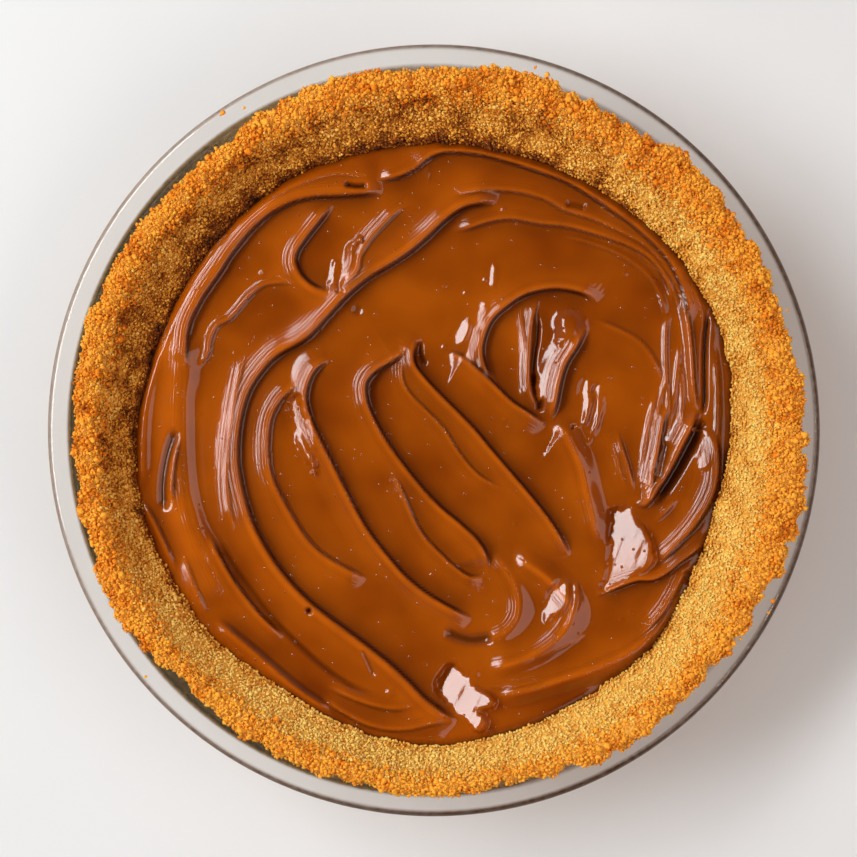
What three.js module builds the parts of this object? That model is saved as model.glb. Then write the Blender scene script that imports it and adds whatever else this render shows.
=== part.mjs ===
// A dulce de leche pie, whole and uncut, in its clear glass pie dish.
//
// Three pieces nest in each other: the dish, a crust of pressed biscuit crumbs
// that lines it, and the filling, spread over the crust with the back of a spoon.
// Lengths are millimetres, +Z is up, and the origin is the middle of the dish's
// base. +X is the right of the pie as it is seen from above, and +Y is its top.
import * as THREE from "three";

// ---------------------------------------------------------------- dimensions

// A nine inch pie dish: 9 in (229 mm) across inside its rim.
const rimOuterRadius = 122.5;
const rimInnerRadius = 115;
const dishHeight = 38;
const glassThickness = 4.5;
const footRadius = 90;
const wallFoot = { r: 94, z: 9 }; // where the inside wall leaves the floor's fillet
const wallRun = 0.685; // how far the wall leans out for each mm that it rises

// Touching pieces keep this much apart.
const gap = 0.4;

// The crust, from its floor to its crumbly lip.
const crustFloor = 11.3;
const crustLip = 40.2;
const lipRoughness = 1.1; // how far the lip's crags stand out

// The filling, up to the middle of its swirls.
const fillLevel = 27.4;
const edgeDrop = 1.7; // the filling rounds down where it meets the crust
const edgeWidth = 5;

// Radii at every 30 degrees from +X, turning towards +Y. A crust pressed by hand
// isn't round: it is thick at the top of the pie and thin at the bottom.
const fillRadii = [96.9, 98.1, 94.6, 93.7, 94.3, 93.8, 96.8, 98.1, 97.5, 102.4, 100.2, 96.2];
const lipInnerRadii = [108.5, 108, 108, 108, 106.5, 107, 107.5, 108, 108, 110.5, 110.5, 109.5];
const lipOuterRadii = [118, 116.5, 114.5, 116, 113, 112, 113, 112.5, 113.5, 116, 116.5, 117.5];

// Mesh steps.
const dishSegments = 60;
const crustSegments = 108;
const fillSteps = 58;

// The crests that the spoon left. Each runs through its points, stands up to
// `height` over the trough beside it, and falls over `left` mm on its left and
// `right` mm on its right.
const crests = [
  // round the edge: the left, over the top, and down the right
  { height: 1.6, left: 6, right: 6, path: [[-91, -14], [-89, 12], [-72, 51], [-57, 69], [-36, 79], [-16, 79]] },
  { height: 1.2, left: 6, right: 5, path: [[-28, 86], [-4, 89], [20, 87], [56, 71], [76, 50], [84, 18]] },
  { height: 1.3, left: 6, right: 6, path: [[3, 75], [18, 76.5], [50, 67], [72, 52], [80, 32]] },
  // the long crest down the left of the middle, to the bottom edge
  { height: 3, left: 5, right: 9, path: [[-20, 47], [-41, 29.5], [-61, 10], [-60, -25], [-28, -65], [-12, -79], [4, -92]] },
  // the folds of the middle
  { height: 1.9, left: 6, right: 8, path: [[-43, 16], [-53, 0], [-48, -24], [-26, -44], [-8, -54], [18, -65]] },
  { height: 2.2, left: 6, right: 8, path: [[-33, 22], [-40.5, 8], [-33, -12], [-15, -41], [-3, -53]] },
  { height: 2.8, left: 6, right: 9, path: [[-9, 26], [-21, 17], [-13, -8], [0, -23], [17, -44], [3, -41.5]] },
  { height: 2.8, left: 6, right: 8, path: [[-4, 30], [-6, 21], [4, 8], [17, -6], [30, -20], [42, -39]] },
  // the hollows at the top left
  { height: 2.4, left: 8, right: 6, path: [[-30, 75], [-40, 61], [-42, 49], [-28, 47], [-12, 54.5], [14, 73]] },
  { height: 1.6, left: 6, right: 6, path: [[-77, 18], [-71, 28], [-57, 46], [-42, 47]] },
  // the curl right of the middle, and the edge of its hollow
  { height: 2.6, left: 6, right: 6, path: [[50, 37], [43.5, 32], [40, 19], [37, 3]] },
  { height: 2.2, left: 8, right: 6, path: [[52, 40], [40, 45], [24, 41], [15, 27], [24, 9.5], [43, -3], [52, -38]] },
  // the deep folds on the right
  { height: 3, left: 6, right: 7, path: [[83.5, 25], [83.5, 8], [78, -9], [68, -23.5], [62, -14], [59, -2]] },
  { height: 2.2, left: 6, right: 6, path: [[90, 10], [91.5, -10], [84, -29], [72, -45], [54, -52]] },
  // the bottom
  { height: 1.9, left: 6, right: 6, path: [[-73, -20], [-65, -42], [-34, -77], [-5, -86]] },
  { height: 1.8, left: 6, right: 6, path: [[-72, -60], [-55, -74], [-12, -95.5], [6, -93]] },
  { height: 1.9, left: 8, right: 6, path: [[85, -42], [76, -53], [60, -71], [18, -85]] },
  { height: 1.9, left: 7, right: 6, path: [[22, -42], [33, -55], [28, -69], [14, -74]] },
];

// ------------------------------------------------------------------- helpers

// A value between the twelve that a list gives round the pie, for any angle.
function round(list, angle) {
  const turn = ((angle / (2 * Math.PI)) % 1 + 1) % 1;
  const at = turn * list.length;
  const i = Math.floor(at);
  const t = at - i;
  const pick = (k) => list[(i + k + list.length) % list.length];
  const [a, b, c, d] = [pick(-1), pick(0), pick(1), pick(2)];
  return b + 0.5 * t * (c - a + t * (2 * a - 5 * b + 4 * c - d + t * (3 * (b - c) + d - a)));
}

// A repeatable number from -1 to 1 for each pair of whole numbers.
function roll(i, j) {
  const s = Math.sin(i * 127.1 + j * 311.7) * 43758.5453;
  return 2 * (s - Math.floor(s)) - 1;
}

// A smooth step from 1 at 0 down to 0 at 1.
function ease(t) {
  return t >= 1 ? 0 : 0.5 * (1 + Math.cos(Math.PI * t));
}

function meshOf(name, geometry, colour, roughness, extra = {}) {
  const material = new THREE.MeshStandardMaterial({ color: colour, roughness, metalness: 0, ...extra });
  const mesh = new THREE.Mesh(geometry, material);
  mesh.name = name;
  return mesh;
}

// Closed rings of points, each as long as the last, joined into a skin. The first
// and last rings close on a middle point of their own.
function skin(rings, firstMiddle, lastMiddle) {
  const n = rings[0].length;
  const points = [...rings.flat(), firstMiddle, lastMiddle];
  const index = [];
  rings.slice(1).forEach((_, k) => {
    for (let j = 0; j < n; j++) {
      const a = k * n + j;
      const b = k * n + ((j + 1) % n);
      index.push(a, b, a + n, b, b + n, a + n);
    }
  });
  const first = points.length - 2;
  const last = points.length - 1;
  const start = (rings.length - 1) * n;
  for (let j = 0; j < n; j++) {
    const next = (j + 1) % n;
    index.push(first, next, j, last, start + j, start + next);
  }
  return geometryOf(points, index);
}

function geometryOf(points, index) {
  const geometry = new THREE.BufferGeometry();
  geometry.setAttribute("position", new THREE.Float32BufferAttribute(points.flat(), 3));
  geometry.setIndex(index);
  geometry.computeVertexNormals();
  return geometry;
}

const polar = (r, angle, z) => [r * Math.cos(angle), r * Math.sin(angle), z];

// ---------------------------------------------------------------------- dish

// The inside of the glass, as its height at a radius: floor, fillet, leaning
// wall, the bend at the top, and the flat rim.
function glassInside(r) {
  const bendStart = rimInnerRadius - 2.6;
  const wallAt = (x) => wallFoot.z + (x - wallFoot.r) / wallRun;
  if (r < 84) return 5;
  if (r < wallFoot.r) return 5 + (wallFoot.z - 5) * ((r - 84) / (wallFoot.r - 84)) ** 2;
  if (r < bendStart) return wallAt(r);
  if (r > rimInnerRadius) return dishHeight;
  const t = (rimInnerRadius - r) / (rimInnerRadius - bendStart);
  return dishHeight - (dishHeight - wallAt(bendStart)) * t * t;
}

function makeDish() {
  const lean = Math.atan(wallRun);
  const out = glassThickness * Math.cos(lean); // the wall's outside, square off its inside
  const down = glassThickness * Math.sin(lean);
  const underRim = dishHeight - glassThickness;
  const wallTop = rimInnerRadius - 2.6;
  const profile = [
    [0, 0],
    [footRadius, 0],
    [footRadius + 3.2, 0.8],
    [wallFoot.r + out - 2.4, wallFoot.z - down - 3.5],
    [wallTop + out, glassInside(wallTop) - down],
    [rimInnerRadius + 3, underRim],
    [rimOuterRadius - 1.4, underRim],
    [rimOuterRadius, underRim + 1.5],
    [rimOuterRadius, dishHeight - 1.5],
    [rimOuterRadius - 1.4, dishHeight],
    ...[rimInnerRadius, rimInnerRadius - 1.3, wallTop].map((r) => [r, glassInside(r)]),
    ...[wallFoot.r, 90, 84].map((r) => [r, glassInside(r)]),
    [0, 5],
  ];
  const geometry = new THREE.LatheGeometry(
    profile.map(([r, z]) => new THREE.Vector2(r, z)),
    dishSegments,
  );
  geometry.rotateX(Math.PI / 2); // a lathe turns about Y
  return meshOf("dish", geometry, 0xe6ebe8, 0.05, { transparent: true, opacity: 0.35 });
}

// --------------------------------------------------------------------- crust

// The crust's inside below the filling, from the filling's edge to the floor.
function crustInside(angle) {
  const edge = round(fillRadii, angle);
  const rise = fillLevel - crustFloor;
  return [
    [edge, fillLevel],
    [edge - wallRun * (rise - 5), crustFloor + 5],
    [edge - wallRun * (rise - 5) - 3.2, crustFloor + 1],
    [edge - wallRun * (rise - 5) - 9, crustFloor],
  ];
}

// One section of the crust, from under its middle out, up, over the lip and in.
function crustSection(angle, j) {
  const rough = (k) => lipRoughness * roll(j, k);
  const onGlass = (r) => glassInside(r) + gap;
  const outer = round(lipOuterRadii, angle) + rough(1);
  const inner = round(lipInnerRadii, angle) + 0.5 * rough(2);
  const bend = Math.min(rimInnerRadius - 0.8, outer - 0.6);
  const top = crustLip + 0.6 * rough(3);
  const inside = crustInside(angle);
  const [edge] = inside;
  const wall = (share) => edge[0] + (inner - edge[0]) * share;
  const height = (share) => edge[1] + (top - 1 - edge[1]) * share;
  return [
    [84, 5 + gap],
    [90, onGlass(90)],
    [wallFoot.r - gap, onGlass(wallFoot.r)],
    [rimInnerRadius - 2.9 - gap, glassInside(rimInnerRadius - 2.9)],
    [bend - gap, onGlass(bend)],
    [outer - 0.4, Math.max(onGlass(outer), onGlass(bend) + 0.1)],
    [outer, top - 1.1],
    [outer - 1.5, top - 0.2],
    [(outer + inner) / 2 + 0.4, top + 0.5 * rough(4)],
    [inner + 0.8, top - 0.3],
    [inner, top - 1],
    [wall(0.72) + 0.4 * rough(5), height(0.74)],
    [wall(0.4) + 0.3 * rough(6), height(0.44)],
    ...inside,
  ];
}

function makeCrust() {
  const sections = Array.from({ length: crustSegments }, (_, j) => {
    const angle = (2 * Math.PI * j) / crustSegments;
    return crustSection(angle, j).map(([r, z]) => polar(r, angle, z));
  });
  const rings = sections[0].map((_, k) => sections.map((section) => section[k]));
  const geometry = skin(rings, [0, 0, 5 + gap], [0, 0, crustFloor]);
  return meshOf("crust", geometry, 0xdba04b, 0.9);
}

// ------------------------------------------------------------------- filling

// The crests as short straight pieces, with how far along each its point is.
const crestLines = crests.map(({ path, ...crest }) => {
  const curve = new THREE.SplineCurve(path.map(([x, y]) => new THREE.Vector2(x, y)));
  return { ...crest, points: curve.getPoints(path.length * 6) };
});

// How high one crest stands at a point: by the nearest place on its line, the
// side that the point lies on, and a taper to nothing at both ends.
function crestHeight({ points, height, left, right }, x, y) {
  let nearest = { far: Infinity };
  for (let i = 0; i + 1 < points.length; i++) {
    const [a, b] = [points[i], points[i + 1]];
    const along = b.clone().sub(a);
    const t = THREE.MathUtils.clamp(((x - a.x) * along.x + (y - a.y) * along.y) / along.lengthSq(), 0, 1);
    const [dx, dy] = [x - a.x - t * along.x, y - a.y - t * along.y];
    const far = Math.hypot(dx, dy);
    if (far < nearest.far) {
      nearest = { far, leftSide: along.x * dy - along.y * dx > 0, share: (i + t) / (points.length - 1) };
    }
  }
  const taper = 1 - ease(Math.min(nearest.share, 1 - nearest.share) * 9);
  return height * taper * ease(nearest.far / (nearest.leftSide ? left : right));
}

// Crests that meet don't pile up: the highest stands, and the rest add a little.
function fillTop(x, y, toEdge) {
  const heights = crestLines.map((line) => crestHeight(line, x, y)).sort((a, b) => b - a);
  const swirl = heights[0] + 0.35 * heights[1] - 0.8;
  const edge = ease(toEdge / edgeWidth);
  return fillLevel + swirl * (1 - edge) - edgeDrop * edge;
}

// A square of -1 to 1 bent to a round of radius 1, with all its cells as large.
function squareToRound(u, v) {
  if (u === 0 && v === 0) return [0, 0];
  const [r, angle] =
    Math.abs(u) > Math.abs(v) ? [u, (Math.PI / 4) * (v / u)] : [v, Math.PI / 2 - (Math.PI / 4) * (u / v)];
  return [r * Math.cos(angle), r * Math.sin(angle)];
}

function makeFilling() {
  const n = fillSteps;
  const edgeHeight = fillLevel - edgeDrop;
  const reach = (angle) => round(fillRadii, angle) - wallRun * edgeDrop - 1.3 * gap;
  const points = [];
  for (let j = 0; j <= n; j++) {
    for (let i = 0; i <= n; i++) {
      const [ux, uy] = squareToRound((2 * i) / n - 1, (2 * j) / n - 1);
      const out = reach(Math.atan2(uy, ux));
      const [x, y] = [ux * out, uy * out];
      const toEdge = out * (1 - Math.hypot(ux, uy));
      points.push([x, y, toEdge < 1e-6 ? edgeHeight : fillTop(x, y, toEdge)]);
    }
  }
  const at = (i, j) => j * (n + 1) + i;
  const index = [];
  for (let j = 0; j < n; j++) {
    for (let i = 0; i < n; i++) {
      index.push(at(i, j), at(i + 1, j), at(i + 1, j + 1), at(i, j), at(i + 1, j + 1), at(i, j + 1));
    }
  }
  // the square's border, turning from +X towards +Y, and the rings that hang from it
  const border = [
    ...Array.from({ length: n }, (_, k) => at(k, 0)),
    ...Array.from({ length: n }, (_, k) => at(n, k)),
    ...Array.from({ length: n }, (_, k) => at(n - k, n)),
    ...Array.from({ length: n }, (_, k) => at(0, n - k)),
  ];
  let above = border;
  for (const level of [1, 2, 3]) {
    const below = border.map((b) => {
      const angle = Math.atan2(points[b][1], points[b][0]);
      const [r, z] = crustInside(angle)[level];
      points.push(polar(r - 1.3 * gap, angle, z + gap));
      return points.length - 1;
    });
    above.forEach((a, k) => {
      const next = (k + 1) % above.length;
      index.push(below[k], below[next], a, below[next], above[next], a);
    });
    above = below;
  }
  points.push([0, 0, crustFloor + gap]);
  above.forEach((a, k) => index.push(points.length - 1, above[(k + 1) % above.length], a));
  return meshOf("filling", geometryOf(points, index), 0xa24a06, 0.2);
}

// ----------------------------------------------------------------------- pie

const pie = new THREE.Group();
pie.add(makeDish(), makeCrust(), makeFilling());

export default pie;
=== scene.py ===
# A dulce de leche pie in its glass dish.
# The frame brings the plain solids in, and this script gives each of them its real surface.
# Lengths here are millimetres until a mesh is made. +X is the pie's right as seen from above, +Y its top.
import math

import bpy
import numpy as np
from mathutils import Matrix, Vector


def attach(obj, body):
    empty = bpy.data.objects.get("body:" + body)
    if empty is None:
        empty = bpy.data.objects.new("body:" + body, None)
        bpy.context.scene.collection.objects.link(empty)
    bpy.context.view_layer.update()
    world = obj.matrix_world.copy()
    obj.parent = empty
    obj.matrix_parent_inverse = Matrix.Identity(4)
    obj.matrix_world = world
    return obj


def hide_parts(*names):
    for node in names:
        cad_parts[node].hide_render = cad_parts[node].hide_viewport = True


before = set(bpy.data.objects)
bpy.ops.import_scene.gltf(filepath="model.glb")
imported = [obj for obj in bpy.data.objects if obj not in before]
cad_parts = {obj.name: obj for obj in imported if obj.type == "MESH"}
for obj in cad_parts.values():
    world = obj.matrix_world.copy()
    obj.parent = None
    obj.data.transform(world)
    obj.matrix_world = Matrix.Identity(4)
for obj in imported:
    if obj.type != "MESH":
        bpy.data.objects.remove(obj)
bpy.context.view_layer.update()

mm = 0.001


def srgb(hexText):
    # an sRGB hex colour turned to linear light, with alpha 1
    parts = [int(hexText[i:i + 2], 16) / 255 for i in (1, 3, 5)]
    linear = [c / 12.92 if c <= 0.04045 else ((c + 0.055) / 1.055) ** 2.4 for c in parts]
    return (*linear, 1.0)


def addNode(tree, kind, settings=None, wires=None):
    # one node: settings are its attributes, its sockets by name or number, or a ramp's stops as places and
    # colours, and a colour is a hex value; wires are sockets and what feeds them
    node = tree.nodes.new(kind)
    for name, value in (settings or {}).items():
        if name == "stops":
            elements = node.color_ramp.elements
            while len(elements) < len(value):
                elements.new(0.5)
            for element, (place, colour) in zip(elements, value):
                element.position = place
                element.color = srgb(colour)
        elif isinstance(name, str) and hasattr(node, name):
            setattr(node, name, value)
        else:
            isHex = isinstance(value, str) and value.startswith("#")
            node.inputs[name].default_value = srgb(value) if isHex else value
    for name, source in (wires or {}).items():
        tree.links.new(source, node.inputs[name])
    return node


def perMetre(cell):
    # a pattern's scale from the size of its cells in mm
    return 1000 / cell


def newMaterial(name):
    # an empty node material, its tree, and the place that its patterns read
    material = bpy.data.materials.new(name)
    material.use_nodes = True
    tree = material.node_tree
    tree.nodes.clear()
    return material, tree, addNode(tree, "ShaderNodeTexCoord").outputs["Object"]


def makePiece(name, points, faces, material, values=None):
    # points is (n, 3) in mm, faces is (m, 3) or (m, 4) of corners, and values holds attributes of points
    mesh = bpy.data.meshes.new(name)
    sides = faces.shape[1]
    mesh.vertices.add(len(points))
    mesh.vertices.foreach_set("co", (points * mm).astype(np.float32).ravel())
    mesh.loops.add(faces.size)
    mesh.loops.foreach_set("vertex_index", faces.astype(np.int32).ravel())
    mesh.polygons.add(len(faces))
    mesh.polygons.foreach_set("loop_start", np.arange(0, faces.size, sides, dtype=np.int32))
    for key, value in (values or {}).items():
        attribute = mesh.attributes.new(key, "FLOAT", "POINT")
        attribute.data.foreach_set("value", value.astype(np.float32))
    mesh.update(calc_edges=True)
    mesh.validate()
    mesh.materials.append(material)
    piece = bpy.data.objects.new(name, mesh)
    bpy.context.scene.collection.objects.link(piece)
    return piece


def smooth(piece):
    piece.data.polygons.foreach_set("use_smooth", np.ones(len(piece.data.polygons), dtype=bool))
    return piece


def gridFaces(rows, columns, closed):
    # quads between the rows of a grid; closed joins the last column to the first
    across = columns if closed else columns - 1
    row, column = np.meshgrid(np.arange(rows - 1), np.arange(across), indexing="ij")
    a = row * columns + column
    b = row * columns + (column + 1) % columns
    return np.stack([a, b, b + columns, a + columns], axis=-1).reshape(-1, 4)


def hashNoise(cells, seed):
    # a repeatable number from 0 to 1 for each row of whole numbers
    mixed = np.zeros(cells.shape[:-1], dtype=np.uint64) + np.uint64(seed * 7919 + 13)
    for k, prime in zip(range(cells.shape[-1]), (73856093, 19349663, 83492791)):
        mixed ^= (cells[..., k].astype(np.int64).astype(np.uint64) + np.uint64(1 << 20)) * np.uint64(prime)
    mixed ^= mixed >> np.uint64(13)
    mixed *= np.uint64(0x9E3779B97F4A7C15)
    mixed ^= mixed >> np.uint64(29)
    mixed *= np.uint64(0xBF58476D1CE4E5B9)
    mixed ^= mixed >> np.uint64(32)
    return (mixed & np.uint64(0xFFFFFF)).astype(np.float64) / 0xFFFFFF


def softNoise(points, cell, seed):
    # value noise from -1 to 1: random numbers on a lattice of the given cell in mm, eased between its corners
    scaled = points / cell
    base = np.floor(scaled)
    t = scaled - base
    t = t * t * t * (t * (t * 6 - 15) + 10)
    total = np.zeros(len(points))
    for corner in range(2 ** points.shape[1]):
        step = np.array([(corner >> k) & 1 for k in range(points.shape[1])])
        weight = np.prod(np.where(step == 1, t, 1 - t), axis=1)
        total += weight * hashNoise(base + step, seed)
    return 2 * total - 1


def grainNoise(points, cell, seed):
    # cellular relief from 0 to 1: a round top at a random centre in each lattice cell, with creases between
    scaled = points / cell
    base = np.floor(scaled)
    nearest = np.full(len(points), 9.0)
    for corner in range(27):
        step = np.array([corner % 3 - 1, corner // 3 % 3 - 1, corner // 9 - 1])
        place = base + step
        centre = place + np.stack([hashNoise(place, seed + k) for k in (1, 2, 3)], axis=-1)
        nearest = np.minimum(nearest, np.sum((scaled - centre) ** 2, axis=1))
    return 1 - np.clip(np.sqrt(nearest), 0, 1)


def easedBetween(a, b, c, d, t):
    # the curve from b to c, where t runs from 0 to 1, with a before them and d after them
    return b + 0.5 * t * (c - a + t * (2 * a - 5 * b + 4 * c - d + t * (3 * (b - c) + d - a)))


def around(values, angle):
    # a value for any angle, eased between numbers that are given evenly round the pie
    values = np.asarray(values, dtype=float)
    at = (angle / (2 * np.pi) % 1) * len(values)
    i = np.floor(at).astype(int)
    t = at - i
    a, b, c, d = (values[(i + k) % len(values)] for k in (-1, 0, 1, 2))
    return easedBetween(a, b, c, d, t)


def curveThrough(points, spacing):
    # a smooth curve through the points, as a polyline with about the given spacing
    p = np.asarray(points, dtype=float)
    p = np.vstack([2 * p[0] - p[1], p, 2 * p[-1] - p[-2]])
    pieces = []
    for i in range(1, len(p) - 2):
        count = max(2, int(np.linalg.norm(p[i + 1] - p[i]) / spacing))
        t = np.linspace(0, 1, count, endpoint=False)[:, None]
        a, b, c, d = p[i - 1:i + 3]
        pieces.append(easedBetween(a, b, c, d, t))
    return np.vstack(pieces + [p[-2:-1]])


def easeStep(t):
    # 0 up to 1 along a smooth step
    t = np.clip(t, 0, 1)
    return t * t * (3 - 2 * t)


view = {
    "height": 938.0,  # camera over the floor
    "over": (-1.7, 0.6),  # the point of the pie under the camera
    "width": 271.3,  # what the frame takes in at the rim
    "rim": 38.0,  # the rim over the floor
}


def makeCamera():
    data = bpy.data.cameras.new("camera")
    data.sensor_width = 36
    data.lens = 36 * (view["height"] - view["rim"]) / view["width"]
    camera = bpy.data.objects.new("camera", data)
    camera.location = (view["over"][0] * mm, view["over"][1] * mm, view["height"] * mm)
    bpy.context.scene.collection.objects.link(camera)
    bpy.context.scene.camera = camera


lamps = {
    # name: (azimuth and elevation it shines from, distance, width, height, watts, colour, seen in gloss)
    "window": (162, 42, 1500, 1500, 340, 24.5, "#F5FBFD", True),
    "fillRight": (-22, 42, 1500, 1500, 1100, 9.5, "#FFEFE6", True),
    "ceiling": (90, 88, 1500, 2600, 2600, 9.5, "#FFFAF8", False),
}


def makeLights():
    for name, (azimuth, elevation, distance, width, height, watts, colour, mirrored) in lamps.items():
        data = bpy.data.lights.new(name, "AREA")
        data.shape = "RECTANGLE"
        data.size = width * mm
        data.size_y = height * mm
        data.energy = watts
        data.color = srgb(colour)[:3]
        a, e = math.radians(azimuth), math.radians(elevation)
        towards = Vector((math.cos(a) * math.cos(e), math.sin(a) * math.cos(e), math.sin(e)))
        lamp = bpy.data.objects.new(name, data)
        lamp.location = towards * distance * mm
        lamp.rotation_euler = towards.to_track_quat("Z", "Y").to_euler()
        lamp.visible_glossy = mirrored
        bpy.context.scene.collection.objects.link(lamp)


def makeRoom():
    # a dim room: dark overhead, paler towards the horizon, so that level gloss stays deep in colour
    world = bpy.data.worlds.new("room")
    world.use_nodes = True
    tree = world.node_tree
    tree.nodes.clear()
    direction = addNode(tree, "ShaderNodeTexCoord").outputs["Generated"]
    rise = addNode(tree, "ShaderNodeSeparateXYZ", None, {0: direction}).outputs["Z"]
    stops = [(0.0, "#5A524C"), (0.1, "#9A9896"), (0.35, "#8A8886"), (0.52, "#343332"), (1.0, "#1E1D1C")]
    colour = addNode(tree, "ShaderNodeValToRGB", {"stops": stops}, {0: rise})
    back = addNode(tree, "ShaderNodeBackground", {"Strength": 1.15}, {"Color": colour.outputs[0]})
    addNode(tree, "ShaderNodeOutputWorld", None, {"Surface": back.outputs[0]})
    bpy.context.scene.world = world
    bpy.context.scene.view_settings.view_transform = "Standard"


def makeFloor():
    # plain and pale, level, matt with a faint sheen
    material, tree, place = newMaterial("paleTabletop")
    cloud = addNode(tree, "ShaderNodeTexNoise", {"Scale": perMetre(167), "Detail": 3.0}, {"Vector": place})
    colour = addNode(tree, "ShaderNodeValToRGB", {"stops": [(0.3, "#E0DFDF"), (0.7, "#E5E4E4")]},
                     {0: cloud.outputs["Fac"]})
    shader = addNode(tree, "ShaderNodeBsdfPrincipled", {"Roughness": 0.55}, {"Base Color": colour.outputs[0]})
    addNode(tree, "ShaderNodeOutputMaterial", None, {"Surface": shader.outputs[0]})
    half = 3000.0
    level = -0.2  # just under the dish
    corners = np.array([[x * half, y * half, level] for x, y in ((-1, -1), (1, -1), (1, 1), (-1, 1))])
    makePiece("tabletop", corners, np.array([[0, 1, 2, 3]]), material)


makeCamera()
makeLights()
makeRoom()
makeFloor()
print("camera, light and floor done")


dish = {
    "rimOuter": 122.5,
    "rimInner": 115.0,
    "height": 38.0,
    "glass": 4.5,
    "foot": 90.0,
    "floorTop": 5.0,
    "floorFlat": 84.0,  # the radius where the floor starts to curve up
    "bendRun": 2.6,  # how far the bend between wall and rim reaches
    "wallFoot": (94.0, 9.0),  # radius and height where the inside wall leaves the floor's fillet
    "wallRun": 0.685,  # how far the wall leans out for each mm it rises
    "turns": 288,
    "bendShadeFrom": 110.5,  # the radius where the painted shade of the bend begins
    "paintedEdgeShade": [(0.0, "#FBFAF8"), (0.5, "#6C4820"), (1.0, "#1C1408")],  # painted shade and reflection, from clear to dark brown-grey
    "shadow": "#F3F1EF",
}


def glassInside(r):
    # the inside of the glass as a height over the radius: floor, fillet, leaning wall, bend and flat rim
    r = np.asarray(r, dtype=float)
    footR, footZ = dish["wallFoot"]
    floorZ, flat, run = dish["floorTop"], dish["floorFlat"], dish["bendRun"]
    bend = dish["rimInner"] - run
    wall = footZ + (r - footR) / dish["wallRun"]
    wallTop = footZ + (bend - footR) / dish["wallRun"]
    fillet = floorZ + (footZ - floorZ) * ((r - flat) / (footR - flat)) ** 2
    t = (dish["rimInner"] - r) / run
    bent = dish["height"] - (dish["height"] - wallTop) * t * t
    return np.select([r < flat, r < footR, r < bend, r < dish["rimInner"]],
                     [floorZ + 0 * r, fillet, wall, bent], dish["height"])


def softCorner(start, corner, end, t):
    # points from start to end that round off the corner, on a quadratic curve
    t = t[:, None]
    return (1 - t) ** 2 * np.array(start) + 2 * t * (1 - t) * np.array(corner) + t * t * np.array(end)


def dishProfile():
    # the outline of a section, from the middle underneath, out, round the rim and back to the middle inside
    lean = math.atan(dish["wallRun"])
    out, down = dish["glass"] * math.cos(lean), dish["glass"] * math.sin(lean)
    footR, footZ = dish["wallFoot"]
    bend = dish["rimInner"] - dish["bendRun"]
    under = dish["height"] - dish["glass"]
    rim = dish["rimOuter"]
    half = dish["glass"] / 2
    foot = dish["foot"]
    flat = np.array([[0, 0], [foot * 0.5, 0], [foot - 2, 0]])
    heelTop = (footR + out - 2.4, footZ - down - 3.5)
    heel = softCorner((foot - 1, 0), (foot + 2.6, 0), heelTop, np.linspace(0, 1, 12))
    wallTop = (bend + out, float(glassInside(bend)) - down)
    neckEnd = (dish["rimInner"] + 4.2, under)
    neck = softCorner(wallTop, (bend + out + 1.2, under), neckEnd, np.linspace(0.15, 1, 10))
    turn = np.linspace(-np.pi / 2, np.pi / 2, 22)
    edge = np.stack([rim - half + half * np.cos(turn), under + half + half * np.sin(turn)], axis=1)
    r = np.concatenate([
        [dish["rimInner"] + 1.5], np.linspace(dish["rimInner"], bend, 9), np.linspace(bend - 4, footR, 6),
        np.linspace(footR - 1, dish["floorFlat"], 9), [60, 30, 0],
    ])
    inside = np.stack([r, glassInside(r)], axis=1)
    return np.vstack([flat, heel, [wallTop], neck, edge, inside])


def closeGrid(points, turns, firstMiddle, lastMiddle):
    # a closed round grid of points as triangles, with its first and last rows closed on middle points
    rows = len(points) // turns
    quads = gridFaces(rows, turns, True)
    whole = np.vstack([points, [firstMiddle, lastMiddle]])
    first, last = len(points), len(points) + 1
    step = np.arange(turns)
    turned = (step + 1) % turns
    top = (rows - 1) * turns
    firstCap = np.stack([np.full(turns, first), turned, step], axis=1)
    lastCap = np.stack([np.full(turns, last), top + step, top + turned], axis=1)
    return whole, np.vstack([quads[:, [0, 1, 2]], quads[:, [0, 2, 3]], firstCap, lastCap])


def lathe(profile, turns):
    # the profile turned about Z, one column of points for each step of angle, with its ends closed
    angle = np.linspace(0, 2 * np.pi, turns, endpoint=False)
    r, z = profile[1:-1, 0][:, None], profile[1:-1, 1][:, None]
    points = np.stack([r * np.cos(angle), r * np.sin(angle), z + 0 * angle], axis=-1).reshape(-1, 3)
    return closeGrid(points, turns, [0, 0, profile[0, 1]], [0, 0, profile[-1, 1]])


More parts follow.
